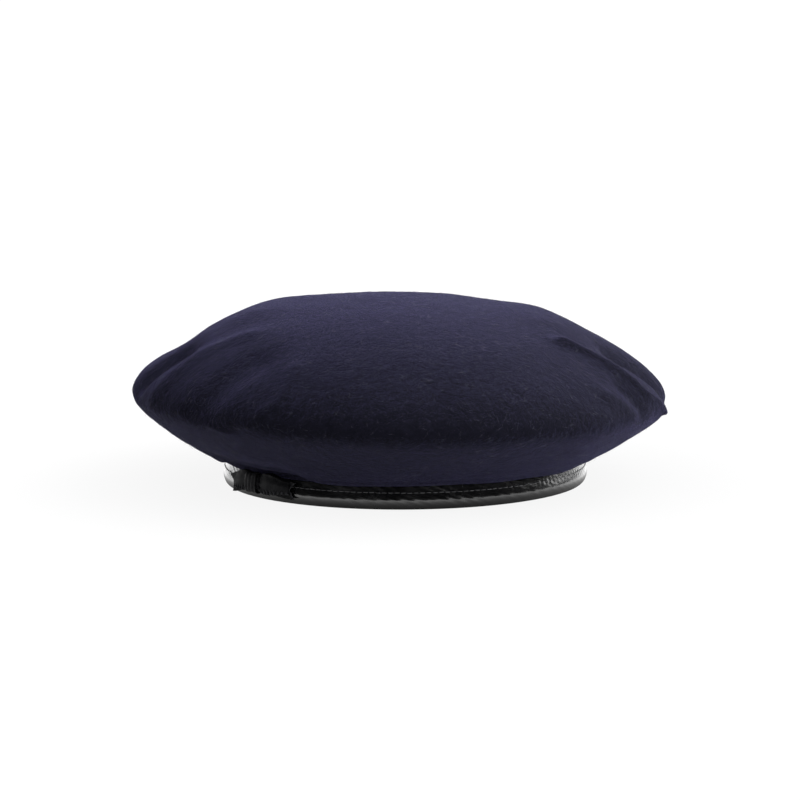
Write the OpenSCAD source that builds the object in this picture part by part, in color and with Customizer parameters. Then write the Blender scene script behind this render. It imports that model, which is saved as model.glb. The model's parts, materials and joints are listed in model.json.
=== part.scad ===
// Beret: a seamless felt crown with a leather-bound head opening, a lining and a small ribbon bow.
// Units are millimetres. +Z is up, -Y is the wearer's front, +X the wearer's left, and the bow is at
// the back, on +Y.
// The origin is the centre of the head opening, on the plane that the bound edge rests on.

/* [Head opening] */
// Circumference of the head opening
head_circumference = 560; // [520:5:620]
// Radial thickness of the bound edge
band_t = 4.5; // [4.5:0.1:6]
// Height of the leather binding
band_h = 12.5; // [11:0.5:20]
// Thickness of the binding leather
leather_t = 0.9; // [0.7:0.1:1]
// Radius of the binding's rolled lower edge
band_roll_r = 1.7; // [1.2:0.1:2]
// Height of the stay tape inside the binding
stay_tape_h = 8.5; // [6:0.5:9]
// Thickness of the stay tape
stay_tape_t = 0.5; // [0.3:0.1:0.5]

/* [Crown] */
// Diameter across the rim
crown_d = 274; // [250:2:320]
// Height of the rim above the resting plane
rim_z = 46.6; // [40:0.2:60]
// Overall height
crown_h = 96.5; // [80:0.5:120]
// Thickness of the felt
felt_t = 2.4; // [1.8:0.1:3]

/* [Stitching] */
// Thread diameter
thread_d = 0.4; // [0.3:0.05:0.4]
// Distance from one stitch of the binding to the next
stitch_pitch = 3.2; // [2.5:0.1:5]
// Share of the pitch that a stitch shows
stitch_share = 0.75; // [0.5:0.05:0.85]
// Distance of the stitch row below the binding's upper edge
stitch_inset = 3.5; // [1.5:0.1:4]
// Distance from one stitch of the lining to the next
lining_pitch = 6; // [4:0.5:10]

/* [Lining] */
// Thickness of the lining cloth
lining_t = 0.3; // [0.2:0.05:0.3]
// Gap between the felt and the lining
lining_gap = 0.6; // [0.4:0.1:2]

/* [Bow] */
// Width of the ribbon
ribbon_w = 10; // [8:0.5:10]
// Thickness of the ribbon
ribbon_t = 0.45; // [0.3:0.05:0.6]
// Length of the bow along the band, tail end to tail end
bow_length = 58; // [44:1:70]
// Length of the two loops along the band, end to end
bow_loops_length = 49; // [34:1:54]
// Depth of a loop, front layer to back layer
bow_loop_depth = 2.4; // [1.8:0.1:3]
// Length of the knot along the band
bow_knot_length = 8.5; // [6:0.5:12]
// Depth of the notch in a tail's end
bow_notch = 3.2; // [2:0.2:4]

/* [Labels] */
// Thickness of a label
label_t = 0.35; // [0.2:0.05:0.4]
// Width of the size label
size_label_w = 16; // [10:1:24]
// Length of the size label, sewn edge to free edge
size_label_l = 13; // [8:1:18]
// Width of the care label
care_label_w = 18; // [12:1:26]
// Length of the care label, sewn edge to free edge
care_label_l = 17; // [10:1:20]

/* [Hidden] */

$fn = 64;
head_r = head_circumference / (2 * PI);
band_r = head_r + band_t;
crown_r = crown_d / 2;
back = 90;          // bearing of the back of the head, where the bow sits
seat = 0.05;        // clearance between layers sewn together
clear = 0.3;        // clearance between pieces that move apart
eps = 0.01;

// Layers inside the binding, from the leather's inner leg outward
hem_r = head_r + leather_t + seat;
tape_r = hem_r + lining_t + seat;
felt_edge_r1 = tape_r + stay_tape_t + seat;
felt_edge_r2 = band_r - leather_t - seat;
fold_floor = leather_t + seat;

// Exponents of the crown's rounded outline: 2 gives an ellipse, 1 a straight flank
dome_p = 2.1;
dome_q = 1.65;
under_p = 1.1;
dome_steps = 20;
under_steps = 12;
felt_lift = 0.2;    // gap between the binding's upper edge and the felt above it
felt_start_r = band_r - 0.4;

stitch_z = band_h - stitch_inset;
groove_h = thread_d + 0.4;
groove_in = thread_d + 0.1;
groove_out = 0.3;
stitch_count = round(2 * PI * band_r / stitch_pitch);
stitch_step = 360 / stitch_count;

lining_d1 = felt_t + lining_gap;
lining_d2 = lining_d1 + lining_t;
hem_z = 4;

bow_z = 2;          // lower edge of the ribbon
tail_r = band_r + clear;
loop_r = tail_r + ribbon_t + 0.3;
loop_r2 = loop_r + bow_loop_depth;
knot_wrap = 0.5;    // how far the knot's ribbon stands out from what it wraps
knot_half = arc_angle(bow_knot_length / 2, tail_r);
wing_start = knot_half + arc_angle(clear, tail_r);

label_y = head_r + seat;
label_z = band_h + 0.7;
label_inset = 3;    // distance of each label's side from the middle of the back
label_slope = 30;   // angle at which a label lies on the lining

// Angle in degrees of an arc of a given length and radius
function arc_angle(length, r) = length / r * 180 / PI;

// The crown's outline above the rim, at a distance d inside the felt's outer face
function dome_point(d, i) =
    let (t = 90 * i / dome_steps)
    [(crown_r - d) * pow(cos(t), 2 / dome_p), rim_z + (crown_h - rim_z - d) * pow(sin(t), 2 / dome_q)];

// The crown's underside from the rim down to radius r0, at a distance d inside the felt's outer face
function under_point(d, r0, i) =
    let (t = 90 * i / under_steps)
    let (drop = rim_z - band_h - felt_lift - d)
    [r0 + (crown_r - d - r0) * pow(cos(t), 2 / under_p), rim_z - drop * pow(sin(t), 2 / under_p)];

function dome(d) = [for (i = [0 : dome_steps]) dome_point(d, i)];
function under(d, r0) = [for (i = [0 : under_steps]) under_point(d, r0, i)];
function reversed(list) = [for (i = [len(list) - 1 : -1 : 0]) list[i]];
function without_first(list) = [for (i = [1 : len(list) - 1]) list[i]];

// A ribbon standing on edge round the origin, from bearing a1 to bearing a2
module arc_strip(r, thickness, z, height, a1, a2) {
    rotate([0, 0, a1])
        rotate_extrude(angle = a2 - a1)
            translate([r, z])
                square([thickness, height]);
}

// A short straight thread centred on the origin, along Y
module thread(length) {
    rotate([90, 0, 0])
        cylinder(h = length, d = thread_d, center = true, $fn = 16);
}

// One piece of felt: bound edge, underside, rim and top
module felt_crown() {
    outer = concat(reversed(under(0, felt_start_r)), without_first(dome(0)));
    inner = concat(reversed(dome(felt_t)), without_first(under(felt_t, felt_edge_r1)));
    edge_out = [[felt_edge_r2, fold_floor], [felt_edge_r2, band_h + felt_lift]];
    edge_in = [[felt_edge_r1, fold_floor]];
    color([0.11, 0.11, 0.19])
        rotate_extrude($fn = 128)
            polygon(concat(edge_out, outer, inner, edge_in));
}

// Cross-section of the folded leather strip, open at the top
module binding_section() {
    difference() {
        union() {
            translate([head_r, band_roll_r])
                square([band_t, band_h - band_roll_r]);
            translate([head_r + band_roll_r, 0])
                square([band_t - 2 * band_roll_r, band_roll_r]);
            translate([head_r + band_roll_r, band_roll_r])
                circle(r = band_roll_r);
            translate([band_r - band_roll_r, band_roll_r])
                circle(r = band_roll_r);
        }
        translate([head_r + leather_t, leather_t])
            square([band_t - 2 * leather_t, band_h]);
        translate([head_r - eps, stitch_z - groove_h / 2])
            square([groove_in + eps, groove_h]);
        translate([band_r - groove_out, stitch_z - groove_h / 2])
            square([groove_out + eps, groove_h]);
    }
}

module leather_binding() {
    color([0.04, 0.04, 0.045])
        rotate_extrude($fn = 128)
            binding_section();
}

// The top-stitch row: a dash outside and a dash inside, half a pitch apart
module binding_stitches() {
    dash = stitch_pitch * stitch_share;
    inner_r = head_r + groove_in - thread_d / 2;
    outer_r = band_r - groove_out + thread_d / 2 + 0.02;
    color([0.2, 0.2, 0.22])
        for (i = [0 : stitch_count - 1]) {
            rotate([0, 0, back + (i + 0.5) * stitch_step])
                translate([outer_r, 0, stitch_z])
                    thread(dash);
            rotate([0, 0, back + i * stitch_step])
                translate([inner_r, 0, stitch_z])
                    thread(dash);
        }
}

// The woven tape that keeps the head opening from stretching
module stay_tape() {
    color([0.75, 0.73, 0.68])
        rotate_extrude($fn = 128)
            translate([tape_r, fold_floor])
                square([stay_tape_t, stay_tape_h]);
}

module lining_side() {
    outer = reversed(under(lining_d1, hem_r + lining_t));
    inner = under(lining_d2, hem_r);
    color([0.07, 0.07, 0.09])
        rotate_extrude($fn = 128)
            polygon(concat([[hem_r, hem_z], [hem_r + lining_t, hem_z]], outer, inner));
}

module lining_tip() {
    gap = seat;
    color([0.07, 0.07, 0.09])
        translate([0, 0, gap])
            rotate_extrude($fn = 128)
                polygon(concat(dome(lining_d1), reversed(dome(lining_d2))));
}

// Upright stitches across the seam between the lining's side and its tip
module lining_seam_stitches() {
    length = 2.4;
    below = 0.4;        // how far a stitch reaches below the seam
    r = crown_r - lining_d2 - thread_d - clear;
    count = round(2 * PI * r / lining_pitch);
    color([0.1, 0.1, 0.12])
        for (i = [0 : count - 1])
            rotate([0, 0, back + (i + 0.5) * 360 / count])
                translate([r, 0, rim_z + length / 2 - below])
                    rotate([90, 0, 0])
                        thread(length);
}

// Stitches up the back of the lining's side, where its strip is joined into a ring
module lining_join_stitches() {
    color([0.1, 0.1, 0.12])
        for (i = [2 : under_steps - 1]) {
            a = under_point(lining_d2 + thread_d, hem_r, i);
            b = under_point(lining_d2 + thread_d, hem_r, i + 1);
            middle = (a + b) / 2;
            tilt = atan2(a[1] - b[1], a[0] - b[0]);
            translate([0, middle[0], middle[1]])
                rotate([tilt, 0, 0])
                    thread(2);
        }
}

// The ribbon wrapped round the middle of the bow
module bow_knot() {
    depth = loop_r2 - tail_r;
    color([0.05, 0.05, 0.05])
        difference() {
            arc_strip(tail_r, depth + knot_wrap, bow_z - knot_wrap, ribbon_w + 2 * knot_wrap,
                back - knot_half, back + knot_half);
            arc_strip(tail_r + knot_wrap, depth - knot_wrap, bow_z, ribbon_w,
                back - 2 * knot_half, back + 2 * knot_half);
        }
}

// The gathered middle of the ribbon, inside the knot
module bow_core() {
    color([0.05, 0.05, 0.05])
        arc_strip(tail_r + knot_wrap + seat, loop_r2 - tail_r - knot_wrap - 2 * seat,
            bow_z + seat, ribbon_w - 2 * seat, back - knot_half, back + knot_half);
}

// One loop, from the knot towards smaller bearings: two layers with a rounded end
module bow_loop() {
    end = back - arc_angle(bow_loops_length / 2, loop_r) + arc_angle(bow_loop_depth / 2, loop_r);
    difference() {
        union() {
            arc_strip(loop_r, bow_loop_depth, bow_z, ribbon_w, end, back - wing_start);
            rotate([0, 0, end])
                translate([loop_r + bow_loop_depth / 2, 0, bow_z])
                    cylinder(h = ribbon_w, d = bow_loop_depth);
        }
        arc_strip(loop_r + ribbon_t, bow_loop_depth - 2 * ribbon_t, bow_z - 1, ribbon_w + 2,
            end, back);
        rotate([0, 0, end])
            translate([loop_r + bow_loop_depth / 2, 0, bow_z - 1])
                cylinder(h = ribbon_w + 2, d = bow_loop_depth - 2 * ribbon_t);
    }
}

// One tail, behind its loop, with a notched end
module bow_tail() {
    end = back - arc_angle(bow_length / 2, tail_r);
    difference() {
        arc_strip(tail_r, ribbon_t, bow_z, ribbon_w, end, back - wing_start);
        rotate([0, 0, end])
            translate([tail_r + 2, 0, bow_z])
                rotate([0, -90, 0])
                    linear_extrude(height = 4)
                        polygon([[0.5, -eps], [ribbon_w - 0.5, -eps], [ribbon_w / 2, bow_notch]]);
    }
}

module bow_loop_left() {
    color([0.05, 0.05, 0.05])
        bow_loop();
}

module bow_loop_right() {
    color([0.05, 0.05, 0.05])
        mirror([1, 0, 0])
            bow_loop();
}

module bow_tail_left() {
    color([0.05, 0.05, 0.05])
        bow_tail();
}

module bow_tail_right() {
    color([0.05, 0.05, 0.05])
        mirror([1, 0, 0])
            bow_tail();
}

// Four threads that tie the knot to the leather
module bow_tack_stitches() {
    color([0.05, 0.05, 0.05])
        for (side = [-1, 1], z = [bow_z + 2, bow_z + ribbon_w - 4])
            rotate([0, 0, back + side * knot_half / 2])
                translate([band_r, 0, z])
                    rotate([0, 90, 0])
                        cylinder(h = clear, d = thread_d, $fn = 16);
}

// A folded label: an upright sewn edge, then a flap that lies on the lining
module label(width, length) {
    rise = band_h + felt_lift + lining_d2 + 0.4 - label_z;
    reach = length - rise;
    tip = [reach * cos(label_slope), reach * sin(label_slope)];
    side = [-label_t * sin(label_slope), label_t * cos(label_slope)];
    bend = [label_t, rise];
    translate([width / 2, label_y, label_z])
        rotate([90, 0, -90])
            mirror([1, 0, 0])
                linear_extrude(height = width)
                    polygon([[0, 0], [label_t, 0], bend, bend + tip, bend + tip + side,
                        [0, rise + label_t]]);
}

module size_label() {
    color([0.85, 0.85, 0.83])
        rotate([0, 0, -arc_angle(label_inset + size_label_w / 2, label_y)])
            label(size_label_w, size_label_l);
}

module care_label() {
    color([0.85, 0.85, 0.83])
        rotate([0, 0, arc_angle(label_inset + care_label_w / 2, label_y)])
            label(care_label_w, care_label_l);
}

felt_crown();
leather_binding();
binding_stitches();
stay_tape();
lining_side();
lining_tip();
lining_seam_stitches();
lining_join_stitches();
bow_knot();
bow_core();
bow_loop_left();
bow_loop_right();
bow_tail_left();
bow_tail_right();
bow_tack_stitches();
size_label();
care_label();
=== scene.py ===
import json
import math

import bpy
import numpy as np
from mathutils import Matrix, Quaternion, Vector, noise


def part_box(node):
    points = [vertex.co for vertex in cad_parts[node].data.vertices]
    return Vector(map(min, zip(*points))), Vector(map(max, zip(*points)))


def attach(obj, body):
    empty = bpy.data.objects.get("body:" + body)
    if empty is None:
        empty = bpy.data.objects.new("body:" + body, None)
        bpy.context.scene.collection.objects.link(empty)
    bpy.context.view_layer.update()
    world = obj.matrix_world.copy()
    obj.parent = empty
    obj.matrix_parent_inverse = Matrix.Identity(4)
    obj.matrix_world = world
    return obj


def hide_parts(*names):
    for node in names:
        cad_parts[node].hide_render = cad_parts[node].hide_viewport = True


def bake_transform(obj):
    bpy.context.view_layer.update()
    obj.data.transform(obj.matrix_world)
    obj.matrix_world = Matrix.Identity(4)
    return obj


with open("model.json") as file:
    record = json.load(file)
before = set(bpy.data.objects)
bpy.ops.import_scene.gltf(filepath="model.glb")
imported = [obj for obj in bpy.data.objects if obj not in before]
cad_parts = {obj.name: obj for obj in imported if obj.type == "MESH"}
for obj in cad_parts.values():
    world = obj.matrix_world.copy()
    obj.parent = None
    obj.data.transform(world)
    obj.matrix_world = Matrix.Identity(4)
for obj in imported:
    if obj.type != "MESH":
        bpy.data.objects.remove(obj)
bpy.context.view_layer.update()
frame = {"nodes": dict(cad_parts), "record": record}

MM = 0.001

# ---------------------------------------------------------------- sizes, read from the frame
MOUNTS = {m["name"]: m for m in frame["record"]["mounts"]}
HEAD_R = MOUNTS["head_opening"]["dims"]["r_mm"] * MM
felt_low, felt_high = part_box("felt_crown")
band_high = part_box("leather_binding")[1]
CROWN_R = (felt_high.y - felt_low.y) / 2
CROWN_H = felt_high.z
BAND_R = band_high.y
BAND_H = band_high.z
BACK = math.radians(90)

# ---------------------------------------------------------------- where the camera stands
CAMERA_BEARING = math.radians(142.5)
CAMERA_ELEVATION = math.radians(8.6)
toward_camera = Vector((math.cos(CAMERA_BEARING), math.sin(CAMERA_BEARING), 0))
to_right = Vector((-toward_camera.y, toward_camera.x, 0))
UP = Vector((0, 0, 1))
UP_AXIS = np.array(UP)


def bearing(from_camera):
    """The bearing of a place on the hat, given in degrees from its near side, positive to the right."""
    return CAMERA_BEARING + math.radians(from_camera)


# ---------------------------------------------------------------- mesh helpers
def new_mesh(name, verts, faces):
    mesh = bpy.data.meshes.new(name)
    mesh.from_pydata(np.asarray(verts).reshape(-1, 3).tolist(), [], faces)
    mesh.update()
    mesh.polygons.foreach_set("use_smooth", [True] * len(mesh.polygons))
    obj = bpy.data.objects.new(name, mesh)
    bpy.context.scene.collection.objects.link(obj)
    return obj


def grid_faces(rows, cols, wrap_rows=False, wrap_cols=False):
    """Quads of a grid of rows x cols points, numbered row by row, facing down-the-rows x along-a-row."""
    row_steps = rows if wrap_rows else rows - 1
    col_steps = cols if wrap_cols else cols - 1
    i, j = np.meshgrid(np.arange(row_steps), np.arange(col_steps), indexing="ij")
    i2, j2 = (i + 1) % rows, (j + 1) % cols
    quads = np.stack([i * cols + j, i2 * cols + j, i2 * cols + j2, i * cols + j2], axis=-1)
    return quads.reshape(-1, 4)


def closed_skin(name, rows):
    """A closed surface of rings; the first and the last ring are each one point."""
    count, cols = len(rows) - 2, rows.shape[1]
    verts = np.concatenate([rows[0, :1], rows[1:-1].reshape(-1, 3), rows[-1, :1]])
    faces = (grid_faces(count, cols, wrap_cols=True) + 1).tolist()
    last, base = len(verts) - 1, 1 + (count - 1) * cols
    for j in range(cols):
        faces.append((0, 1 + j, 1 + (j + 1) % cols))
        faces.append((last, base + (j + 1) % cols, base + j))
    return new_mesh(name, verts, faces)


def closed_ring(name, rows):
    """A closed surface that goes round the hat: its cross-section is a loop of rows."""
    count, cols = rows.shape[:2]
    return new_mesh(name, rows, grid_faces(count, cols, True, True).tolist())


def unit(vectors):
    return vectors / np.maximum(np.linalg.norm(vectors, axis=-1, keepdims=True), 1e-12)


def closed_sheet(name, middle, thickness, ridges=0.0, wrap_rows=False):
    """A closed sheet of cloth round a grid of points down its middle. ridges thickens it in places."""
    rows, cols = middle.shape[:2]
    if wrap_rows:
        down = np.roll(middle, -1, axis=0) - np.roll(middle, 1, axis=0)
    else:
        down = np.gradient(middle, axis=0)
    normal = unit(np.cross(down, np.gradient(middle, axis=1)))
    half = (np.zeros((rows, cols)) + thickness / 2 + ridges)[..., None]
    verts = np.concatenate([(middle + normal * half).reshape(-1, 3), (middle - normal * half).reshape(-1, 3)])
    front = grid_faces(rows, cols, wrap_rows=wrap_rows)
    back = front[:, ::-1] + rows * cols
    index = np.arange(rows * cols).reshape(rows, cols)
    left, right = index[:, 0], index[:, -1]
    if wrap_rows:
        rims = [np.append(left, left[0]), np.append(right, right[0])[::-1]]
    else:
        rims = [np.concatenate([left, index[-1, 1:], right[::-1][1:], index[0, ::-1][1:]])]
    edges = []
    for rim in rims:
        a, b = rim[:-1], rim[1:]
        edges.append(np.stack([b, a, a + rows * cols, b + rows * cols], axis=1))
    return new_mesh(name, verts, np.concatenate([front, back] + edges).tolist())


def cylindrical(angle, r, z):
    return np.stack([r * np.cos(angle), r * np.sin(angle), z + 0 * angle], axis=-1)


def smoothstep(x):
    x = np.clip(x, 0, 1)
    return x * x * (3 - 2 * x)


def smooth_line(points, count):
    """A smooth curve through the points (Catmull-Rom), resampled to even spacing."""
    points = np.array(points, dtype=float)
    p = np.vstack([2 * points[0] - points[1], points, 2 * points[-1] - points[-2]])
    t = np.linspace(0, 1, 24, endpoint=False)[:, None]
    parts = []
    for a, b, c, d in zip(p, p[1:], p[2:], p[3:]):
        parts.append(0.5 * (2 * b + (c - a) * t + (2 * a - 5 * b + 4 * c - d) * t ** 2
                            + (3 * b - a - 3 * c + d) * t ** 3))
    line = np.vstack(parts + [p[-2:-1]])
    along = np.concatenate([[0], np.cumsum(np.linalg.norm(np.diff(line, axis=0), axis=1))])
    at = np.linspace(0, along[-1], count)
    return np.stack([np.interp(at, along, line[:, k]) for k in range(line.shape[1])], axis=1)


def wobble(angle, seed, fewest, most):
    """A smooth random wave round the hat, of about unit height, with so many swells to the turn."""
    draw = np.random.default_rng(seed)
    total = 0 * angle
    for swells in range(fewest, most + 1):
        total = total + draw.uniform(0.4, 1) * np.sin(swells * angle + draw.uniform(0, 2 * math.pi))
    return total / math.sqrt(most - fewest + 1)


def threads(name, paths, radius, ends_taper=1.0, sides=8, plies=2, turns=2.5):
    """Short twisted threads: paths is threads x points x 3. Each is a closed tube."""
    count, steps = paths.shape[:2]
    forward = unit(np.gradient(paths, axis=1))
    side = unit(np.cross(forward, np.array([0.13, 0.27, 1.0])))
    other = np.cross(forward, side)
    t = np.linspace(0, 1, steps)
    around = np.linspace(0, 2 * math.pi, sides, endpoint=False)
    lobes = 1 - 0.2 * (1 - np.abs(np.cos(plies / 2 * (around[None, :] - 2 * math.pi * turns * t[:, None]))))
    taper = 1 - (1 - ends_taper) * np.abs(2 * t - 1) ** 3
    r = radius * lobes * taper[:, None]
    ring = (side[:, :, None] * np.cos(around)[:, None] + other[:, :, None] * np.sin(around)[:, None])
    verts = paths[:, :, None] + ring * r[None, ..., None]
    quads = grid_faces(steps, sides, wrap_cols=True)[:, ::-1]
    start = np.arange(count)[:, None, None] * steps * sides
    faces = (start + quads).reshape(-1, 4).tolist()
    first = np.arange(sides)
    faces += (start[:, 0] + first).tolist()
    faces += (start[:, 0] + (steps - 1) * sides + first[::-1]).tolist()
    return new_mesh(name, verts, faces)


# ---------------------------------------------------------------- node helpers
class Shader:
    """A material's node tree, built a line at a time."""

    def __init__(self, name):
        self.material = bpy.data.materials.new(name)
        self.material.use_nodes = True
        self.tree = self.material.node_tree
        self.tree.nodes.clear()
        self.principled = self.tree.nodes.new("ShaderNodeBsdfPrincipled")
        output = self.tree.nodes.new("ShaderNodeOutputMaterial")
        self.tree.links.new(self.principled.outputs[0], output.inputs["Surface"])
        self.place = self.tree.nodes.new("ShaderNodeTexCoord").outputs["Object"]

    def set(self, **values):
        for key, value in values.items():
            self.principled.inputs[key.replace("_", " ")].default_value = value
        return self

    def link(self, out, key):
        self.tree.links.new(out, self.principled.inputs[key])
        return self

    def node(self, kind, inputs=None, **props):
        n = self.tree.nodes.new("ShaderNode" + kind)
        for key, value in props.items():
            setattr(n, key, value)
        for key, value in (inputs or {}).items():
            if isinstance(value, bpy.types.NodeSocket):
                self.tree.links.new(value, n.inputs[key])
            else:
                n.inputs[key].default_value = value
        return n

    def stretched(self, scale):
        return self.node("Mapping", {"Vector": self.place, "Scale": scale}).outputs[0]

    def noise(self, scale, detail=4.0, rough=0.6, vector=None, distortion=0.0):
        inputs = {"Vector": vector or self.place, "Scale": scale, "Detail": detail,
                  "Roughness": rough, "Distortion": distortion}
        return self.node("TexNoise", inputs).outputs["Fac"]

    def ramp(self, value, stops):
        n = self.node("ValToRGB", {"Fac": value})
        for index, (position, colour) in enumerate(stops):
            if index < 2:
                element = n.color_ramp.elements[index]
                element.position = position
            else:
                element = n.color_ramp.elements.new(position)
            element.color = (*colour, 1)
        return n.outputs["Color"]

    def remap(self, value, low, high, to_low, to_high):
        inputs = {"Value": value, "From Min": low, "From Max": high, "To Min": to_low, "To Max": to_high}
        return self.node("MapRange", inputs).outputs["Result"]

    def math(self, operation, a, b=0.0):
        return self.node("Math", {0: a, 1: b}, operation=operation).outputs[0]

    def mix(self, factor, a, b):
        n = self.node("Mix", data_type="RGBA")
        for index, value in ((0, factor), (6, a), (7, b)):
            if isinstance(value, bpy.types.NodeSocket):
                self.tree.links.new(value, n.inputs[index])
            else:
                n.inputs[index].default_value = value if index == 0 or len(value) == 4 else (*value, 1)
        return n.outputs[2]

    def bump(self, height, strength, distance, below=None):
        inputs = {"Height": height, "Strength": strength, "Distance": distance}
        if below is not None:
            inputs["Normal"] = below
        return self.node("Bump", inputs).outputs["Normal"]


# ---------------------------------------------------------------- materials
FELT_DARK = (0.0090, 0.0088, 0.0160)
FELT_LIGHT = (0.0290, 0.0284, 0.0510)
FELT_CLUMP = (0.0370, 0.0360, 0.0640)
FELT_BROAD = (0.0125, 0.0122, 0.0215)


def felt_material():
    """Navy wool: fibres matted at half a millimetre, clumps of 3 mm, broad shading of 30 mm."""
    s = Shader("navy_wool_felt")
    matted = s.noise(1500, 5, 0.7, distortion=1.2)
    clumps = s.noise(320, 5, 0.65, distortion=0.6)
    broad = s.noise(26, 3, 0.5)
    colour = s.ramp(matted, [(0.3, FELT_DARK), (0.72, FELT_LIGHT)])
    lighter = s.mix(s.remap(clumps, 0.42, 0.75, 0, 0.7), colour, FELT_CLUMP)
    s.link(s.mix(s.remap(broad, 0.35, 0.7, 0, 0.3), lighter, FELT_BROAD), "Base Color")
    nap = s.bump(matted, 0.8, 0.0007)
    s.link(s.bump(clumps, 0.7, 0.0012, nap), "Normal")
    s.set(Roughness=0.95, Specular_IOR_Level=0.1)
    s.set(Sheen_Weight=0.68, Sheen_Roughness=0.22, Sheen_Tint=(0.48, 0.45, 0.96, 1))
    return s.material


def fibre_material():
    """Loose wool: most fibres are as dark as the felt, and some are almost white."""
    s = Shader("loose_wool_fibre")
    tone = s.noise(160, 2, 0.5)
    s.link(s.ramp(tone, [(0.4, (0.03, 0.03, 0.055)), (0.62, (0.52, 0.52, 0.66))]), "Base Color")
    s.set(Roughness=0.7, Sheen_Weight=0.3, Sheen_Tint=(0.7, 0.7, 0.95, 1))
    return s.material


def leather_material():
    """Black glossy leather: pores of a millimetre, fine creases and worn spots that are duller."""
    s = Shader("black_glossy_leather")
    pores = s.node("TexVoronoi", {"Vector": s.place, "Scale": 1100.0}, feature="F1").outputs["Distance"]
    creases = s.noise(260, 5, 0.6, s.stretched((1, 1, 0.5)))
    scuffs = s.noise(90, 4, 0.6)
    s.link(s.ramp(scuffs, [(0.3, (0.004, 0.004, 0.0045)), (0.75, (0.010, 0.010, 0.011))]), "Base Color")
    s.link(s.remap(scuffs, 0.3, 0.75, 0.17, 0.32), "Roughness")
    fine = s.bump(pores, 0.12, 0.0002)
    s.link(s.bump(creases, 0.20, 0.0004, fine), "Normal")
    s.set(Specular_IOR_Level=0.5, Coat_Weight=0.4, Coat_Roughness=0.12)
    return s.material


def thread_material():
    """Black sewing thread, whose plies catch the light; its colour is a painted highlight, grey instead of
    black, so the stitches show as light dashes.
    """
    s = Shader("black_thread_painted_glints")
    plies = s.noise(2600, 2, 0.5)
    # painted highlight: the plies are coloured grey, standing in for the glints of black thread
    s.link(s.ramp(plies, [(0.3, (0.10, 0.10, 0.105)), (0.7, (0.34, 0.34, 0.35))]), "Base Color")
    s.link(s.bump(plies, 0.4, 0.0001), "Normal")
    s.set(Roughness=0.32, Sheen_Weight=0.3)
    return s.material


def ribbon_material():
    """Matte black grosgrain; its cross ribs are in the mesh, the threads along it are here. A painted
    highlight lightens the colour where the mesh marks it, on ruffled crests and cut edges."""
    s = Shader("black_grosgrain")
    weave = s.noise(2400, 3, 0.6, s.stretched((1, 1, 2.5)))
    dust = s.noise(240, 4, 0.6)
    colour = s.ramp(weave, [(0.3, (0.004, 0.004, 0.0045)), (0.75, (0.013, 0.013, 0.015))])
    dusty = s.mix(s.remap(dust, 0.5, 0.8, 0, 0.3), colour, (0.016, 0.016, 0.020))
    # painted highlight: the colour turns grey where the mesh marks ruffle crests and cut ends, standing in
    # for the light they catch
    painted_highlight = s.node("Attribute", attribute_name="painted_highlight").outputs["Fac"]
    s.link(s.mix(painted_highlight, dusty, (0.11, 0.11, 0.12)), "Base Color")
    s.link(s.bump(weave, 0.4, 0.0002), "Normal")
    s.link(s.remap(dust, 0.3, 0.7, 0.6, 0.8), "Roughness")
    s.set(Specular_IOR_Level=0.14, Sheen_Weight=0.02, Sheen_Roughness=0.4, Sheen_Tint=(0.8, 0.85, 0.9, 1))
    return s.material


def lining_material():
    """Black satin: fine threads across the height, and a faint broad mottle."""
    s = Shader("black_satin_lining")
    warp = s.noise(1500, 2, 0.5, s.stretched((1, 1, 6)))
    cloud = s.noise(40, 3, 0.5)
    colour = s.ramp(warp, [(0.3, (0.020, 0.020, 0.028)), (0.7, (0.042, 0.042, 0.058))])
    s.link(s.mix(s.remap(cloud, 0.4, 0.7, 0, 0.5), colour, (0.026, 0.026, 0.036)), "Base Color")
    s.link(s.bump(warp, 0.15, 0.0002), "Normal")
    s.set(Roughness=0.34, Anisotropic=0.4, Sheen_Weight=0.2)
    return s.material


def tape_material():
    """Unbleached cotton tape."""
    s = Shader("cotton_tape")
    weave = s.noise(2200, 3, 0.6)
    s.link(s.ramp(weave, [(0.3, (0.42, 0.40, 0.34)), (0.7, (0.62, 0.60, 0.53))]), "Base Color")
    s.link(s.bump(weave, 0.4, 0.0002), "Normal")
    s.set(Roughness=0.9)
    return s.material


def label_material():
    """White woven label, left blank."""
    s = Shader("white_woven_label")
    weave = s.noise(2600, 3, 0.6)
    s.link(s.ramp(weave, [(0.3, (0.62, 0.62, 0.60)), (0.7, (0.80, 0.80, 0.78))]), "Base Color")
    s.link(s.bump(weave, 0.3, 0.0002), "Normal")
    s.set(Roughness=0.7, Sheen_Weight=0.2)
    return s.material


FINISH = {
    "felt": felt_material(), "fibre": fibre_material(), "leather": leather_material(),
    "thread": thread_material(), "ribbon": ribbon_material(), "lining": lining_material(),
    "tape": tape_material(), "label": label_material(),
}


def finish(obj, material, *nodes, slot=None, body="hat"):
    """Gives a piece its material, says which nodes it stands for, and puts it on its body. The slot is not
    used.
    """
    obj.data.materials.append(FINISH[material])
    if nodes:
        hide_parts(*nodes)
    if body:
        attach(obj, body)
    return obj


# ---------------------------------------------------------------- the crown's outline
RIM_Z = 42.6 * MM
TOP_SAG = 1.3 * MM                              # how far the soft top sinks
DOME_P, DOME_Q, UNDER_P = 2.1, 1.65, 1.1       # exponents of the outline: 2 is an ellipse, 1 is straight
RIM_ROUND = 7 * MM                              # over how far the rim is rounded
RIM_PULL = 2.6 * MM                             # how far that rounding draws the rim in
FELT_T = 2.4 * MM
LINING_T = 0.3 * MM
LINING_INSET = 3.3 * MM                         # from the felt's outer face to the middle of the lining
HEM_R = HEAD_R + 1.5 * MM                       # the lining's hem, between the leather and the felt
DROOP_R = BAND_R + 7.5 * MM                     # where the underside rolls in over the binding's edge
DROOP_Z = 15.5 * MM
DROOP_IN_Z = 18.2 * MM                          # the same place on the felt's inner face
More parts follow.
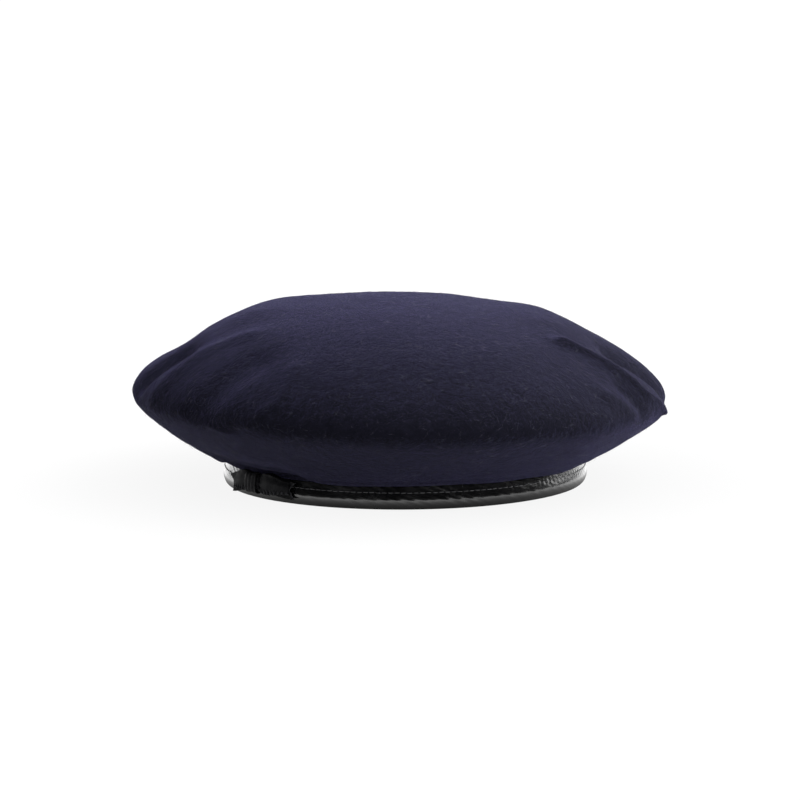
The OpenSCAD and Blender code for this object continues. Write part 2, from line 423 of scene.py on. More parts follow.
# The felt's edge from there into the binding, on its outer and its inner face. Each point is how far
# it lies out from the binding's outer radius, and how high, in millimetres.
FELT_NECK = [(5.4, 14.0), (3.6, 13.0), (1.8, 12.4), (0.1, 12.6), (-1.1, 13.2), (-2.0, 12.8),
             (-2.1, 11.0), (-1.75, 9.0), (-1.4, 6.0), (-1.3, 1.4)]
FELT_NECK_INSIDE = [(1.4, 16.1), (-1.1, 15.4), (-2.4, 13.4), (-2.65, 9.0), (-2.65, 1.4)]
BOW_LIFT = 3.8                                  # how far the felt rides up over the bow, in mm
BOW_LIFT_INSIDE = 1.1


def beside_band(points):
    """Points given from the binding's outer radius, in millimetres, as radius and height."""
    return [(BAND_R + out * MM, z * MM) for out, z in points]


def dome_line(inset, t):
    """Radius and height above the rim, t from 0 at the rim to 1 at the top."""
    a = t * math.pi / 2
    height = CROWN_H - TOP_SAG - RIM_Z - inset
    return (CROWN_R - inset) * np.cos(a) ** (2 / DOME_P), RIM_Z + height * np.sin(a) ** (2 / DOME_Q)


def under_line(inset, end_r, end_z, t):
    """Radius and height below the rim, t from 0 at the rim to 1 at the head opening."""
    a = t * math.pi / 2
    r = end_r + (CROWN_R - inset - end_r) * np.cos(a) ** (2 / UNDER_P)
    return r, RIM_Z - (RIM_Z - end_z) * np.sin(a) ** (2 / UNDER_P)


def rounded_rim(line, from_rim):
    """The outline with its rim rounded: each point near it becomes an average of its neighbours."""
    steps = np.abs(from_rim[:, None] - from_rim[None, :])
    weight = np.exp(-(steps / RIM_ROUND) ** 2)
    mean = weight @ line / weight.sum(axis=1, keepdims=True)
    near = np.exp(-(from_rim / (2.2 * RIM_ROUND)) ** 2)[:, None]
    rounded = line * (1 - near) + mean * near
    rounded[:, 0] += RIM_PULL * np.exp(-(from_rim / (4 * RIM_ROUND)) ** 2)
    return rounded


def section(inset, end_r, end_z, neck, spacing, neck_spacing):
    """The outline of one layer of the crown, from the top's centre to the rim, in to the head
    opening and along the neck's points. Returns radius, height and share: the share is 0 at the
    centre, 1 at the rim, 2 at the head opening, and stays 2 along the neck."""
    r1, z1 = dome_line(inset, np.linspace(1, 0, 400))
    r2, z2 = under_line(inset, end_r, end_z, np.linspace(0, 1, 300)[1:])
    r, z = np.concatenate([r1, r2]), np.concatenate([z1, z2])
    along = np.concatenate([[0], np.cumsum(np.hypot(np.diff(r), np.diff(z)))])
    rim = along[len(r1) - 1]
    at = np.linspace(0, along[-1], round(along[-1] / spacing))
    share = np.where(at <= rim, at / rim, 1 + (at - rim) / (along[-1] - rim))
    line = np.stack([np.interp(at, along, r), np.interp(at, along, z), share], axis=1)
    line[:, :2] = rounded_rim(line[:, :2], at - rim)
    if neck:
        bend = [line[-3, :2]] + [line[-1, :2]] + [np.array(p) for p in neck]
        length = np.linalg.norm(np.diff(bend, axis=0), axis=1).sum()
        extra = smooth_line(bend[1:], max(8, round(length / neck_spacing)))[1:]
        line = np.vstack([line, np.column_stack([extra, np.full(len(extra), 2.0)])])
    return line.T


# ---------------------------------------------------------------- folds in the crown
# Each fold is a line of places (degrees from the near side, share of the way from the top to the
# rim, or past 1 on the underside), its width and its height in millimetres, and its crest: 1 is
# a crease, 2 is a soft swell.
FOLDS = [
    # right flank: a crease in front of a dent
    ([(60, 0.62), (65, 0.80), (67, 0.92), (75, 1.0)], 3.8, 3.8, 1.2),
    ([(80, 0.76), (84, 0.88), (86, 0.98)], 10.0, -7.0, 2),
    ([(53, 0.88), (58, 0.97)], 5.0, 1.0, 2),
    ([(60, 0.88), (62, 0.97)], 4.5, -1.6, 2),
    # left flank: a broad ridge in front of a softer dent
    ([(-56, 0.60), (-62, 0.72), (-63, 0.86), (-64, 0.97)], 7.0, 2.0, 1.8),
    ([(-74, 0.78), (-77, 0.92)], 9.0, -5.4, 2),
    ([(-41, 0.74), (-44, 0.86), (-46, 0.95)], 11.0, -3.2, 2),
    ([(-28, 0.74), (-27, 0.90), (-33, 0.99)], 4.5, 1.3, 1.5),
    ([(-47, 1.0), (-39, 1.12)], 4.0, 0.8, 1.6),
]
# At the outline: the corner of the flat top, and the hollow flank outside it.
FOLDS += [
    ([(-84, 0.47), (-112, 0.45)], 16.0, 2.2, 2),
    ([(-92, 0.80), (-112, 0.78)], 16.0, -3.6, 2),
    ([(80, 0.52), (112, 0.50)], 18.0, 2.6, 2),
]
# What the camera doesn't see: softer swells and dents of the same kind round the back.
FOLDS += [
    ([(124, 0.62), (128, 0.82), (131, 0.97)], 8.0, 1.8, 1.7),
    ([(140, 0.78), (144, 0.95)], 12.0, -3.0, 2),
    ([(168, 0.70), (171, 0.90)], 14.0, -2.2, 2),
    ([(-134, 0.60), (-137, 0.84), (-142, 0.99)], 7.0, 2.0, 1.6),
    ([(-153, 0.80), (-156, 0.96)], 11.0, -3.2, 2),
]


def fold_height(angle, share, soft):
    """How far the felt stands out, in metres, at each bearing and share of the way down."""
    map_r = share * CROWN_R / MM
    x, y = map_r * np.cos(angle), map_r * np.sin(angle)
    total = np.zeros_like(x)
    for path, width, height, crest in FOLDS:
        points = [(s * CROWN_R / MM * math.cos(bearing(b)), s * CROWN_R / MM * math.sin(bearing(b)))
                  for b, s in path]
        nearest = np.full_like(x, 1e9)
        for (ax, ay), (bx, by) in zip(points, points[1:]):
            length2 = (bx - ax) ** 2 + (by - ay) ** 2
            t = np.clip(((x - ax) * (bx - ax) + (y - ay) * (by - ay)) / length2, 0, 1)
            nearest = np.minimum(nearest, np.hypot(x - ax - t * (bx - ax), y - ay - t * (by - ay)))
        if soft:
            total += height * 0.85 * np.exp(-(nearest / (width * 1.25)) ** 2)
        else:
            total += height * np.exp(-(nearest / width) ** crest)
    return total * MM * smoothstep((1.9 - share) / 0.3)


def droop(angle, r, z, share, lift):
    """The felt's lower edge sags unevenly over the binding, and rides up by the lift over the bow."""
    from_bow = np.abs(np.angle(np.exp(1j * (angle - BACK))))
    over_bow = smoothstep((math.radians(27) - from_bow) / math.radians(12))
    sag = 0.45 * wobble(angle, 11, 4, 15) * (1 - over_bow) + lift * over_bow
    near_edge = smoothstep((26 * MM - z) / (12 * MM)) * smoothstep((r - BAND_R) / (1.0 * MM))
    return sag * MM * near_edge * (share > 1.3)


LEAN = math.radians(1.5)
OFF_CENTRE = 2.55 * MM


def slump(points):
    """The crown leans a little on its band: it sits off centre, and one side is higher."""
    weight = smoothstep((points[..., 2] - BAND_H) / (RIM_Z - BAND_H))
    across = points @ np.array(to_right)
    lift = -across * math.tan(LEAN) * weight
    moved = points - np.array(to_right) * OFF_CENTRE * weight[..., None]
    moved[..., 2] += lift
    return moved


def normals_of(points):
    """Outward normals of a grid of points that goes round (columns) and down (rows)."""
    round_ = np.roll(points, -1, axis=1) - np.roll(points, 1, axis=1)
    down = np.gradient(points, axis=0)
    n = np.cross(down, round_)
    n[np.linalg.norm(n, axis=-1) < 1e-14] = (0, 0, 1)
    return unit(n)


def crown_layer(line, columns, soft=True, lift=0.0):
    """One layer of the crown as a grid of points: rows go down its outline, columns go round. Soft
    layers have rounder folds, and the lift is how far its edge rides up over the bow, in mm."""
    angle = np.linspace(0, 2 * math.pi, columns, endpoint=False)
    a = np.broadcast_to(angle, (len(line[0]), columns))
    r, z, share = (np.broadcast_to(values[:, None], a.shape) for values in line)
    points = cylindrical(a, r, z)
    points = points + normals_of(points) * fold_height(a, share, soft)[..., None]
    points[..., 2] += droop(a, r, z, share, lift)
    return slump(points)


def unevenness(points, share):
    """Felt is never smooth: swells of 30 mm and lumps of 6 mm, in metres."""
    flat = points.reshape(-1, 3)
    swells = np.array([noise.noise(Vector(p) * 34) for p in flat])
    lumps = np.array([noise.noise(Vector(p) * 160) for p in flat])
    total = (0.55 * swells + 0.15 * lumps) * MM
    return total.reshape(points.shape[:2]) * smoothstep((1.95 - share) / 0.2)


def crown():
    """The felt: a closed skin from the top, round the rim, down into the binding, and back inside.
    Returns its outer face and the normals there."""
    columns = 440
    outline = section(0, DROOP_R, DROOP_Z, beside_band(FELT_NECK), 1.3 * MM, 0.45 * MM)
    outer = crown_layer(outline, columns, soft=False, lift=BOW_LIFT)
    share = np.broadcast_to(outline[2][:, None], outer.shape[:2])
    normal = normals_of(outer)
    outer = outer + normal * unevenness(outer, share)[..., None]
    neck_inside = beside_band(FELT_NECK_INSIDE)
    inner_line = section(FELT_T, DROOP_R - 1.0 * MM, DROOP_IN_Z, neck_inside, 3.0 * MM, 1.5 * MM)
    inner = crown_layer(inner_line, columns, lift=BOW_LIFT_INSIDE)
    obj = closed_skin("felt_crown_shape", np.concatenate([outer, inner[::-1]]))
    finish(obj, "felt", "felt_crown")
    return outer, normals_of(outer)


# ---------------------------------------------------------------- loose fibres on the felt
NECK_ROWS = 40        # rows at the end of the felt's outer face without fibres: they turn into the binding


def fibres(name, surface, normal, count, length, radius, rise, seed):
    """Short wool fibres that lie on the felt, each curved its own way, with their ends a little up."""
    draw = np.random.default_rng(seed)
    rows = slice(0, len(surface) - NECK_ROWS)
    a, n = surface[rows], normal[rows]
    across = np.roll(a, -1, axis=1) - a
    area = np.linalg.norm(np.cross(a[1:] - a[:-1], across[:-1]), axis=-1)
    cell = draw.choice(area.size, count, p=(area / area.sum()).ravel())
    i, j = np.unravel_index(cell, area.shape)
    u, v = draw.random((2, count, 1))
    side = (j + 1) % a.shape[1]
    spot = (a[i, j] * (1 - u) + a[i + 1, j] * u) * (1 - v) + (a[i, side] * (1 - u) + a[i + 1, side] * u) * v
    up = n[i, j]
    east = unit(np.cross(up, draw.normal(size=(count, 3))))
    north = np.cross(up, east)
    steps = 5
    t = np.linspace(0, 1, steps)[None, :, None]
    size = (length[0] + (length[1] - length[0]) * draw.random(count) ** 2)[:, None, None]
    bend = draw.normal(0, 0.35, count)[:, None, None]
    height = draw.uniform(rise[0], rise[1], count)[:, None, None]
    path = (spot[:, None] + east[:, None] * size * t + north[:, None] * size * bend * t ** 2
            + up[:, None] * (height * t ** 1.6 + 0.25 * radius))
    obj = threads(name, path, radius, ends_taper=0.5, sides=3, plies=2, turns=0)
    return finish(obj, "fibre", slot="felt")


# ---------------------------------------------------------------- leather binding
STITCHES = 184
STITCH_Z = 8.7 * MM
LEATHER_T = 0.9 * MM


def binding_outline():
    """The leather's outer face in millimetres: down outside, round the roll, and up inside."""
    b, h = BAND_R / MM, HEAD_R / MM
    points = [(b - 1.7, 12.6), (b - 1.35, 11.2), (b - 0.95, 9.7), (b - 0.4, 7.9), (b + 0.08, 6.0),
              (b + 0.25, 4.7), (b + 0.0, 3.0), (b - 0.7, 1.3), (b - 1.6, 0.3), (b - 2.3, 0.0),
              (h + 1.3, 0.25), (h + 0.4, 1.3), (h + 0.05, 3.0), (h + 0.1, 6.5), (h + 0.35, 9.0),
              (h + 0.1, 10.8), (h + 0.1, 12.4)]
    return smooth_line(points, 54) * MM


def leather_surface(angle, r, z, outside):
    """Radius of the leather with its puckers at the stitches and its waves."""
    pull = np.exp(-((z - STITCH_Z) / (1.5 * MM)) ** 2)
    step = 2 * math.pi / STITCHES
    dimple = np.cos(math.pi * (angle - BACK) / step + (0 if outside else math.pi / 2)) ** 2
    waves = 0.20 * wobble(angle, 5, 5, 22) * smoothstep((10.5 * MM - z) / (4 * MM)) * smoothstep(z / (3 * MM))
    creases = 0.05 * wobble(angle + z * 25, 8, 60, 110)
    sign = 1 if outside else -1
    return r + sign * (waves + creases - 0.14 * dimple * pull) * MM


def binding():
    """The leather: its outer face, and its inner face a leather's thickness behind, as one ring."""
    columns = 1104
    line = binding_outline()
    along = np.gradient(line, axis=0)
    inwards = unit(np.stack([along[:, 1], -along[:, 0]], axis=1))
    inner = (line + inwards * LEATHER_T)[::-3]
    line = np.vstack([line, inner])
    angle = np.linspace(0, 2 * math.pi, columns, endpoint=False)
    middle = (BAND_R + HEAD_R) / 2
    rows = []
    for r, z in line:
        rows.append(cylindrical(angle, leather_surface(angle, r, z, r > middle), z))
    obj = closed_ring("binding_leather", np.array(rows)[::-1])
    return finish(obj, "leather", "leather_binding")


def binding_stitches():
    """The top-stitch row, outside and inside: each stitch is a bent thread that dives in at both ends."""
    draw = np.random.default_rng(21)
    step = 2 * math.pi / STITCHES
    line = binding_outline()
    half = len(line) // 2
    outer_r = np.interp(-STITCH_Z, -line[:half, 1], line[:half, 0])
    inner_r = np.interp(STITCH_Z, line[half:, 1], line[half:, 0])
    t = np.linspace(-1, 1, 9)
    paths = []
    for outside, base_r, sign in ((True, outer_r, 1), (False, inner_r, -1)):
        for i in range(STITCHES):
            middle = BACK + (i + (0.5 if outside else 0)) * step
            a = middle + t * step * 0.42
            stand = 0.20 - 0.62 * np.abs(t) ** 5
            r = leather_surface(a, base_r, STITCH_Z, outside) + sign * stand * MM
            tilt = draw.normal(0, 0.06) * t + draw.normal(0, 0.05)
            paths.append(cylindrical(a, r, STITCH_Z + tilt * MM))
    obj = threads("binding_top_stitches", np.array(paths), 0.2 * MM)
    return finish(obj, "thread", "binding_stitches")


# ---------------------------------------------------------------- lining
LINING_COLUMNS = 376
LINING_SEED = 31
LINING_END = (HEM_R + 1.3 * MM, 16.3 * MM)      # where its underside turns down into the binding


def lining_wrinkles(points, share):
    """Puckers beside the seams and slack folds between them, inwards only. The hem lies flat, and
    so does the cloth that the labels press on."""
    angle = np.arctan2(points[..., 1], points[..., 0])
    beside_rim = np.exp(-((share - 1) / 0.12) ** 2)
    beside_hem = np.exp(-((share - 2) / 0.3) ** 2)
    puckers = (1 + np.sin(94 * angle + 2 * wobble(angle, LINING_SEED, 2, 9))) / 2
    slack = (1 + wobble(angle + 1.5 * share, LINING_SEED + 1, 5, 16)) / 2
    between = np.clip(1 - beside_rim - beside_hem, 0, 1) * smoothstep(share / 0.35)
    depth = 0.7 * puckers * (beside_rim + beside_hem) + (1.6 * np.clip(slack, 0, 2) + 0.6) * between
    above_hem = smoothstep((points[..., 2] - BAND_H) / (4 * MM))
    from_back = np.abs(np.angle(np.exp(1j * (angle - BACK))))
    pressed = smoothstep((math.radians(28) - from_back) / math.radians(9))
    pressed = pressed * smoothstep((34 * MM - points[..., 2]) / (8 * MM))
    return depth * MM * above_hem * (1 - 0.85 * pressed)


def lining_layer(line, columns, offset):
    """One face of the lining: offset is how far it lies from the cloth's middle."""
    points = crown_layer(line, columns)
    share = np.broadcast_to(line[2][:, None], points.shape[:2])
    return points - normals_of(points) * (lining_wrinkles(points, share) - offset)[..., None]


def lining_line():
    """The lining's outline, from the top's centre to its hem, and the row where tip and side meet."""
    neck = [(HEM_R, 14.4 * MM), (HEM_R, 9.0 * MM), (HEM_R, 4.0 * MM)]
    line = section(LINING_INSET, *LINING_END, neck, 1.8 * MM, 1.2 * MM)
    return line, int(np.searchsorted(line[2], 1.0))


def lining_tip():
    """The round top of the lining, down to its seam at the rim."""
    line, seam = lining_line()
    outer = lining_layer(line, LINING_COLUMNS, LINING_T / 2)[:seam + 1]
    inner = lining_layer(line, LINING_COLUMNS, -LINING_T / 2)[:seam + 1]
    obj = closed_skin("lining_tip_satin", np.concatenate([outer, inner[::-1]]))
    finish(obj, "lining", "lining_tip")


def lining_side():
    """The side of the lining, from its seam at the rim down to its hem in the binding."""
    line, seam = lining_line()
    outer = lining_layer(line, LINING_COLUMNS, LINING_T / 2)[seam:]
    inner = lining_layer(line, LINING_COLUMNS, -LINING_T / 2)[seam:]
    obj = closed_ring("lining_side_satin", np.concatenate([outer, inner[::-1]]))
    finish(obj, "lining", "lining_side")


def lining_stitches():
    """Stitches across the lining's rim seam, and up the back where its side is joined into a ring."""
    stitches = 140
    line = section(LINING_INSET, *LINING_END, None, 0.5 * MM, 1 * MM)
    near = np.flatnonzero(np.abs(line[2] - 1) < 0.012)
    rim = near[::max(1, len(near) // 6)]
    inside = lining_layer(line, stitches, -LINING_T / 2 - 0.25 * MM)[rim]
    obj = threads("lining_seam_threads", np.transpose(inside, (1, 0, 2)), 0.2 * MM)
    finish(obj, "thread", "lining_seam_stitches")
    side = (line[2] > 1.12) & (line[2] < 1.95)
    column = lining_layer(line, LINING_COLUMNS, -LINING_T / 2 - 0.25 * MM)[side, LINING_COLUMNS // 4]
    marks = np.array_split(np.arange(len(column)), 10)
    paths = np.array([smooth_line(column[m[: max(3, len(m) // 2)]], 6) for m in marks])
    obj = threads("lining_join_threads", paths, 0.2 * MM)
    finish(obj, "thread", "lining_join_stitches")


# ---------------------------------------------------------------- bow
TAIL_R = BAND_R + 0.3 * MM
RIBBON_W = 10 * MM
RIBBON_T = 0.45 * MM
RIB_PITCH = 1.1 * MM
BOW_MIDDLE_Z = 8.8 * MM
TAIL_END = 29.0 * MM
NOTCH = 4.6 * MM
# The halves differ, since the left one is pressed flatter: how far the loop reaches along the band,
# how far it stands out, and how far the loop's end and the tail's end hang, in millimetres
HALVES = {1: (21.0, 1.9, 3.0, 4.4), -1: (24.5, 3.75, 0.9, 1.8)}
# A loop's line before it is fitted to its half: along the band and out from it, in millimetres
LOOP = [(3.6, 1.5), (5.4, 1.3), (9.0, 0.85), (15.0, 0.75), (21.5, 0.8), (23.9, 1.3), (24.5, 2.3),
        (23.7, 3.3), (20.0, 4.0), (14.0, 4.5), (9.0, 4.1), (6.0, 3.2), (3.6, 2.5)]
LOOP_START, LOOP_LENGTH = 3.6, 20.9
LOOP_BACK, LOOP_DEPTH = 0.75, 3.75
TAIL_START = 4.2 * MM
KNOT_HALF = 4.25 * MM


def on_band(side, along, out, z):
    """A place beside the band: how far along it from the bow's middle, on one side, and how far out."""
    return cylindrical(BACK - side * along / TAIL_R, TAIL_R + out, z)


def ribs(along):
    """The raised cords of grosgrain, across the ribbon."""
    return 0.07 * MM * np.abs(np.cos(math.pi * along / RIB_PITCH))


def paint_highlight(obj, amount):
    """Stores how strong a painted highlight is at each point of a sheet, the same on both faces."""
    both = np.concatenate([amount.ravel(), amount.ravel()]).astype(np.float32)
    obj.data.attributes.new("painted_highlight", "FLOAT", "POINT").data.foreach_set("value", both)


def bow_loop(side, name):
    """One loop: out behind, round its end and back in front, gathered where the knot holds it. Its
    upper edge is arched, and its lower edge is ruffled."""
    reach, depth, hang = HALVES[side][:3]
    line = [(LOOP_START + (x - LOOP_START) * (reach - LOOP_START) / LOOP_LENGTH,
             LOOP_BACK + (y - LOOP_BACK) * depth / LOOP_DEPTH) for x, y in LOOP]
    path = smooth_line(line, 260) * MM
    across = np.linspace(-1, 1, 33)
    length = np.concatenate([[0], np.cumsum(np.linalg.norm(np.diff(path, axis=0), axis=1))])
    s, v = path[:, :1] + 0 * across, across + 0 * path[:, :1]
    out = path[:, 1:] + 0 * across
    u = np.clip((s / MM - LOOP_START) / (reach - LOOP_START), 0, 1)
    gathered = np.exp(-((s - LOOP_START * MM) / (3.2 * MM)) ** 2)
    half = 5.2 - 1.5 * gathered - 2.1 * smoothstep((u - 0.4) / 0.6)
    middle = BOW_MIDDLE_Z / MM + 0.7 * np.sin(2.8 * u) - hang * u ** 1.6
    front = smoothstep((out - (LOOP_BACK + 0.25 * depth) * MM) / (0.3 * depth * MM))
    draw = np.random.default_rng(40 + side)
    phase = draw.uniform(0, 1)
    pleats = 0.5 * gathered * np.cos(3 * math.pi * v + phase)
    swell = np.sin(2 * math.pi * (s / MM + 0.8 * v) / 2.3 + phase)
    low = smoothstep((-v - 0.35) / 0.5) * front
    upper_waves = 0.16 * np.sin(2 * math.pi * s / (5.2 * MM) + 2) * smoothstep((v - 0.4) / 0.6)
    ruffle = 0.42 * swell * low + upper_waves
    tuck = -0.3 * depth * smoothstep((v - 0.1) / 0.9) * front
    hem = 0.35 * swell * smoothstep((-v - 0.6) / 0.4) * front
    points = on_band(side, s, out + (pleats + ruffle + tuck) * MM, (middle + v * half + hem) * MM)
    obj = closed_sheet(name, points, RIBBON_T, ribs(length)[:, None])
    # painted highlight on the crests of the ruffled lower edge, in front
    paint_highlight(obj, np.clip(swell - 0.1, 0, 1) * smoothstep((-v - 0.45) / 0.35) * front)
    finish(obj, "ribbon", name.replace("_ribbon", ""), body=None)
    return obj


def bow_tail(side, name):
    """One tail: flat behind its loop, and hanging a little. Its notched end has a painted highlight along its
    cut edges.
    """
    hang = HALVES[side][3]
    steps = 150
    across = np.linspace(-1, 1, 41)
    notch = NOTCH * (1 - np.abs(across)) ** 0.9
    end = TAIL_END - notch - hang / 3 * MM * (1 - across)
    u = np.linspace(0, 1, steps)[:, None]
    s = TAIL_START + (end - TAIL_START) * u
    v = across + 0 * u
    free = smoothstep((s - 20 * MM) / (9 * MM))
    gathered = np.exp(-((s - TAIL_START) / (3 * MM)) ** 2)
    half = RIBBON_W / 2 * (1 - 0.3 * gathered - 0.12 * free)
    out = 0.30 * MM + (1.9 - hang / 3) * MM * free ** 1.5 + 0.2 * MM * free * np.sin(3 * v + side)
    z = BOW_MIDDLE_Z - hang * MM * smoothstep((s - 6 * MM) / (26 * MM)) + v * half
    obj = closed_sheet(name, on_band(side, s, out, z), RIBBON_T, ribs(s) * 0.7)
    # painted highlight along the notched cut end
    paint_highlight(obj, smoothstep((s - end + 0.9 * MM) / (0.5 * MM)))
    finish(obj, "ribbon", name.replace("_ribbon", ""), body=None)
    return obj


def bow_knot():
    """The ribbon wrapped round the middle, with soft creases that run the way it is wrapped."""
    around = np.linspace(0, 2 * math.pi, 120, endpoint=False)[:, None]
    along = np.linspace(-1, 1, 41)[None, :] * KNOT_HALF
    middle = np.cos(math.pi * along / (2 * KNOT_HALF))
    waist = 1 - 0.07 * middle ** 2
    swell = np.abs(np.cos(around)) ** (2 / 2.8) * np.sign(np.cos(around))
    tall = np.abs(np.sin(around)) ** (2 / 2.8) * np.sign(np.sin(around))
    outside = smoothstep((swell + 0.3) / 0.8)
    crease = 0.22 * MM * np.sin(2 * math.pi * along / (2.6 * MM) + 1.2 * np.sin(2 * around)) * outside
    out = 2.62 * MM + (2.2 * MM + 0.25 * MM * middle * outside + crease) * swell
    z = BOW_MIDDLE_Z + 5.15 * MM * waist * tall
    girth = around * 4.6 * MM
    points = on_band(1, along, out, z)
    obj = closed_sheet("bow_knot_ribbon", points, RIBBON_T, ribs(girth) * 0.8, wrap_rows=True)
    finish(obj, "ribbon", "bow_knot")


def bow_core():
    """The gathered middle of the ribbon inside the knot: a pleated bundle."""
    around = np.linspace(0, 2 * math.pi, 96, endpoint=False)[None, :]
    along = np.array([-4.7, -4.69, -4.4, -3, -1, 1, 3, 4.4, 4.69, 4.7])[:, None] * MM
    size = np.array([0, 0.8, 1, 0.97, 0.93, 0.93, 0.97, 1, 0.8, 0])[:, None]
    folds = 1 + 0.07 * np.cos(9 * around)
    out = 2.4 * MM + 1.55 * MM * size * folds * np.cos(around)
    z = BOW_MIDDLE_Z + 4.2 * MM * size * folds * np.sin(around)
    obj = closed_skin("bow_core_ribbon", on_band(1, along, out, z)[::-1])
    finish(obj, "ribbon", "bow_core")


def bow():
    """The loops and tails of both halves, on no body and with their transforms baked in, then the knot and
    its core.
    """
    for side, word in ((1, "left"), (-1, "right")):
        for make, part in ((bow_loop, "loop"), (bow_tail, "tail")):
            obj = make(side, f"bow_{part}_{word}_ribbon")
            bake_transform(obj)
    bow_knot()
    bow_core()


# ---------------------------------------------------------------- labels
LABEL_T = 0.35 * MM
LABELS = {"size_label": (16 * MM, 13 * MM), "care_label": (18 * MM, 17 * MM)}  # width and length
LABEL_RISE = 3.2 * MM                           # the upright part above the sewn edge
LABEL_SLOPE = math.radians(30)                  # of the flap beyond it


def label(name, width, length):
    """A folded label: an upright sewn edge, then a flap that lies on the lining."""
    joint = next(j for j in frame["record"]["behaviour"]["joints"] if j["name"] == name + "_flip")
    root, across = np.array(joint["pos_m"]), np.array(joint["axis"])
    outward = np.array([root[0], root[1], 0]) / np.hypot(root[0], root[1])
    reach = length - LABEL_RISE
    tip = np.array([reach * math.cos(LABEL_SLOPE), LABEL_RISE + reach * math.sin(LABEL_SLOPE)])
    bend = [(0, 0), (0, LABEL_RISE * 0.6), (0.35 * MM, LABEL_RISE * 0.95),
            tip * 0.35 + (0, LABEL_RISE * 0.62), tip * 0.7 + (0, LABEL_RISE * 0.28), tip]
    steps = 40
    line = smooth_line(bend, steps)
    v = np.linspace(-0.5, 0.5, 24)
    curl = 0.5 * MM * np.linspace(0, 1, steps)[:, None] ** 3 * (2 * np.abs(v)) ** 3
    points = root + outward * (LABEL_T / 2 + line[:, :1, None]) + across * (v[:, None] * width)
    points = points + UP_AXIS * (line[:, 1:, None] + curl[..., None])
    obj = closed_sheet(name + "_woven", points, LABEL_T)
    finish(obj, "label", name, body=name)


# ---------------------------------------------------------------- carried-over nodes
def dress_nodes():
    """The pieces that keep their CAD shape get their materials."""
    for name, material in {"stay_tape": "tape", "bow_tack_stitches": "thread"}.items():
        mesh = frame["nodes"][name].data
        mesh.materials.clear()
        mesh.materials.append(FINISH[material])


# ---------------------------------------------------------------- floor, light and camera
def floor():
    """A pale floor that glows with painted light: white to the eye with a faint shadow, partly real and
    partly painted round the hat; dim as a light, with painted shade under the hat; and in reflections
    painted dark beside the hat and bright further out."""
    obj = new_mesh("floor", [(-4, -4, 0), (4, -4, 0), (4, 4, 0), (-4, 4, 0)], [(0, 1, 2, 3)])
    s = Shader("pale_floor")
    s.set(Base_Color=(0.06, 0.06, 0.06, 1), Roughness=0.9, Specular_IOR_Level=0)
    path = s.node("LightPath")
    from_middle = s.node("VectorMath", {0: s.place}, operation="LENGTH").outputs["Value"]
    # painted shadow: to the eye the floor is darker within 0.3 m of the middle
    painted_shadow_round_hat = s.remap(from_middle, 0.10, 0.30, 0.90, 1.05)
    # painted reflection: in reflections the floor is dark right beside the hat, bright a little further out
    # and brighter still far off
    painted_reflection_beside_hat = s.remap(from_middle, 0.092, 0.112, 0.12, 1.8)
    far = s.remap(from_middle, 0.4, 1.6, 0, 2.6)
    seen = s.math("MULTIPLY", path.outputs["Is Camera Ray"], painted_shadow_round_hat)
    mirrored = s.math("MULTIPLY", path.outputs["Is Glossy Ray"], s.math("ADD", painted_reflection_beside_hat, far))
    # painted shade: as a light the floor is dimmer under the hat
    painted_shadow_under_hat = s.remap(from_middle, 0.11, 0.28, 0.005, 0.03)
    dim = s.math("MULTIPLY", path.outputs["Is Diffuse Ray"], painted_shadow_under_hat)
    s.link(s.math("ADD", s.math("ADD", seen, mirrored), dim), "Emission Strength")
    s.set(Emission_Color=(1, 1, 1, 1))
    s.material.cycles.emission_sampling = "NONE"
    obj.data.materials.append(s.material)


def area_light(name, place, target, size, power):
    """A softbox of two side lengths in metres, at a place, aimed at its target."""
    data = bpy.data.lights.new(name, "AREA")
    data.shape = "RECTANGLE"
    data.size, data.size_y = size
    data.energy = power
    obj = bpy.data.objects.new(name, data)
    bpy.context.scene.collection.objects.link(obj)
    obj.location = place
    obj.rotation_euler = (Vector(target) - Vector(place)).to_track_quat("-Z", "Y").to_euler()


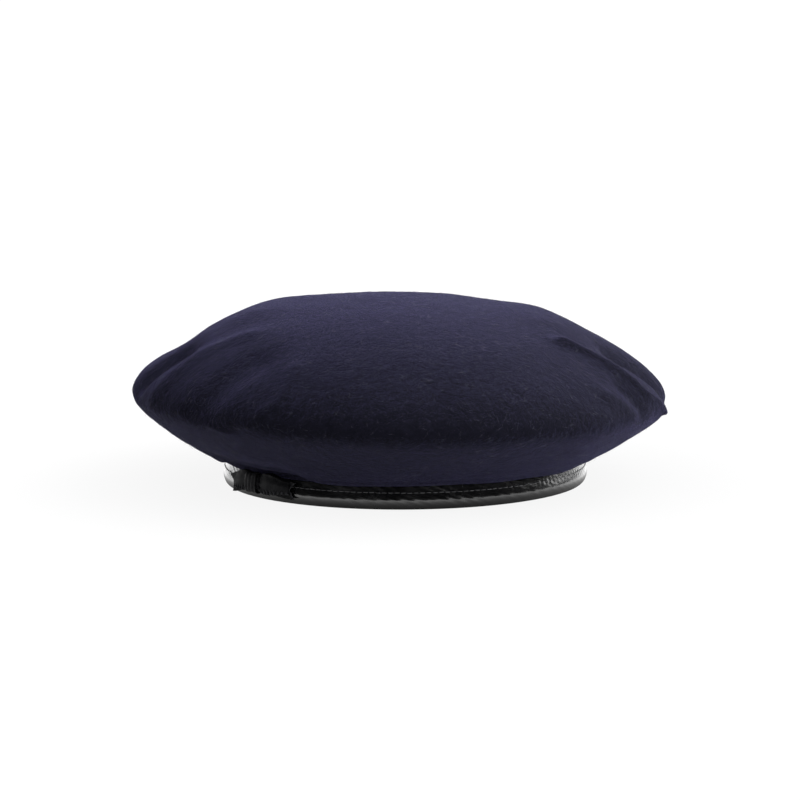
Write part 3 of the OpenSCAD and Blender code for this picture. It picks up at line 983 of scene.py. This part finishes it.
def studio():
    """White all round to the eye. As soft light it is a window on the right and a dimmer room in
    front, and in reflections it is dark but for what lies behind the hat."""
    world = bpy.data.worlds.new("studio")
    bpy.context.scene.world = world
    world.use_nodes = True
    world.cycles.sampling_method = "NONE"
    tree = world.node_tree
    tree.nodes.clear()

    def node(kind, **inputs):
        n = tree.nodes.new("ShaderNode" + kind)
        for key, value in inputs.items():
            socket = n.inputs[int(key[1:])] if key[0] == "_" else n.inputs[key]
            if isinstance(value, bpy.types.NodeSocket):
                tree.links.new(value, socket)
            else:
                socket.default_value = value
        return n

    direction = node("TexCoord").outputs["Generated"]
    to_window = node("VectorMath", _0=direction, _1=tuple(to_right * 0.9 - toward_camera * 0.44))
    to_window.operation = "DOT_PRODUCT"
    away = node("VectorMath", _0=direction, _1=tuple(-toward_camera))
    away.operation = "DOT_PRODUCT"
    from_room = node("VectorMath", _0=direction, _1=tuple(toward_camera * 0.8 + to_right * 0.6))
    from_room.operation = "DOT_PRODUCT"
    window = node("MapRange", _0=to_window.outputs["Value"], _1=0.0, _2=0.95, _3=0, _4=0.85)
    front = node("MapRange", _0=from_room.outputs["Value"], _1=0.0, _2=1.0, _3=0.06, _4=0.62)
    glow = node("Math", _0=window.outputs[0], _1=front.outputs[0])
    mirrored = node("MapRange", _0=away.outputs["Value"], _1=0.4, _2=1.0, _3=0.03, _4=0.9)
    path = node("LightPath").outputs
    soft = node("Background", Color=(0.96, 0.97, 1, 1), Strength=glow.outputs[0])
    sharp = node("Background", Color=(0.96, 0.97, 1, 1), Strength=mirrored.outputs[0])
    seen = node("Background", Color=(1, 1, 1, 1), Strength=1.05)
    lit = node("MixShader", _0=path["Is Glossy Ray"], _1=soft.outputs[0], _2=sharp.outputs[0])
    mix = node("MixShader", _0=path["Is Camera Ray"], _1=lit.outputs[0], _2=seen.outputs[0])
    node("OutputWorld", Surface=mix.outputs[0])


def lights():
    """Two large softboxes on the right: one above, and a lower one behind."""
    middle = (0, 0, 0.05)
    above = tuple(to_right * 0.9 - toward_camera * 0.2 + UP * 1.0)
    behind = tuple(-toward_camera * 0.9 + to_right * 1.1 + UP * 0.6)
    area_light("top_softbox", above, middle, (1.4, 1.4), 5.5)
    area_light("back_softbox", behind, middle, (1.4, 0.9), 12)


def camera():
    """A long lens from far off, a little above the hat and turned by a third of a degree."""
    data = bpy.data.cameras.new("camera")
    obj = bpy.data.objects.new("camera", data)
    bpy.context.scene.collection.objects.link(obj)
    distance, pixels_per_metre, roll = 2.4, 1940, math.radians(0.3)
    data.sensor_width = 36
    data.lens = pixels_per_metre * distance * data.sensor_width / 800
    back = toward_camera * math.cos(CAMERA_ELEVATION) + UP * math.sin(CAMERA_ELEVATION)
    target = UP * (41.4 * MM) - to_right * (2.5 * MM)
    obj.location = target + back * distance
    obj.rotation_mode = "QUATERNION"
    obj.rotation_quaternion = (-back).to_track_quat("-Z", "Y") @ Quaternion((0, 0, 1), -roll)
    data.clip_start, data.clip_end = 0.05, 50
    bpy.context.scene.camera = obj


bpy.context.scene.view_settings.view_transform = "Standard"
camera()
felt_surface, felt_normal = crown()
fibre_share = 1.0
fibres("nap_fibres", felt_surface, felt_normal, round(9000 * fibre_share),
       length=(1.0 * MM, 3.4 * MM), radius=0.02 * MM, rise=(0.05 * MM, 0.8 * MM), seed=3)
fibres("stray_fibres", felt_surface, felt_normal, round(1000 * fibre_share),
       length=(2.5 * MM, 6.5 * MM), radius=0.025 * MM, rise=(0.2 * MM, 1.6 * MM), seed=4)
binding()
binding_stitches()
lining_tip()
lining_side()
lining_stitches()
bow()
for label_name, (label_width, label_length) in LABELS.items():
    label(label_name, label_width, label_length)
dress_nodes()
floor()
studio()
lights()
